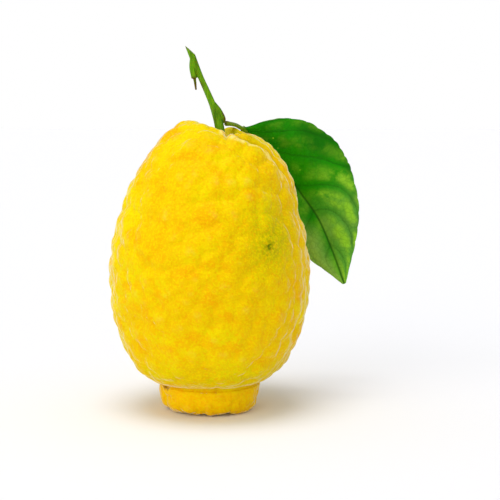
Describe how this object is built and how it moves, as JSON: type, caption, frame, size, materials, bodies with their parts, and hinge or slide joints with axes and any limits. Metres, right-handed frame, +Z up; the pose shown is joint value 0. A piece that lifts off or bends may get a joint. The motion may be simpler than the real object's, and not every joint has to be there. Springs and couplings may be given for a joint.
{
  "type": "citron",
  "caption": "Whole warty yellow citron standing on its broad nipple, with a lobed crown, a cut green stalk and a leaf behind its shoulder.",
  "frame": {"origin": "centre of the flat spot on the underside of the nipple, which the fruit stands on", "axes": "+Z up along the fruit to its stalk, +X to the side where the leaf hangs, +Y to the back, away from the viewer of the front"},
  "size_m": [0.1287, 0.1016, 0.1828],
  "materials": {
    "citron_rind": "waxy, warty and pitted",
    "calyx_green": "dull",
    "stalk_green": "smooth, slightly glossy",
    "leaf_green": "glossy above, dull below"
  },
  "bodies": {
    "root": {"fruit": "citron_rind", "calyx": "calyx_green", "stalk": "stalk_green", "leaf": "leaf_green"}
  },
  "joints": []
}
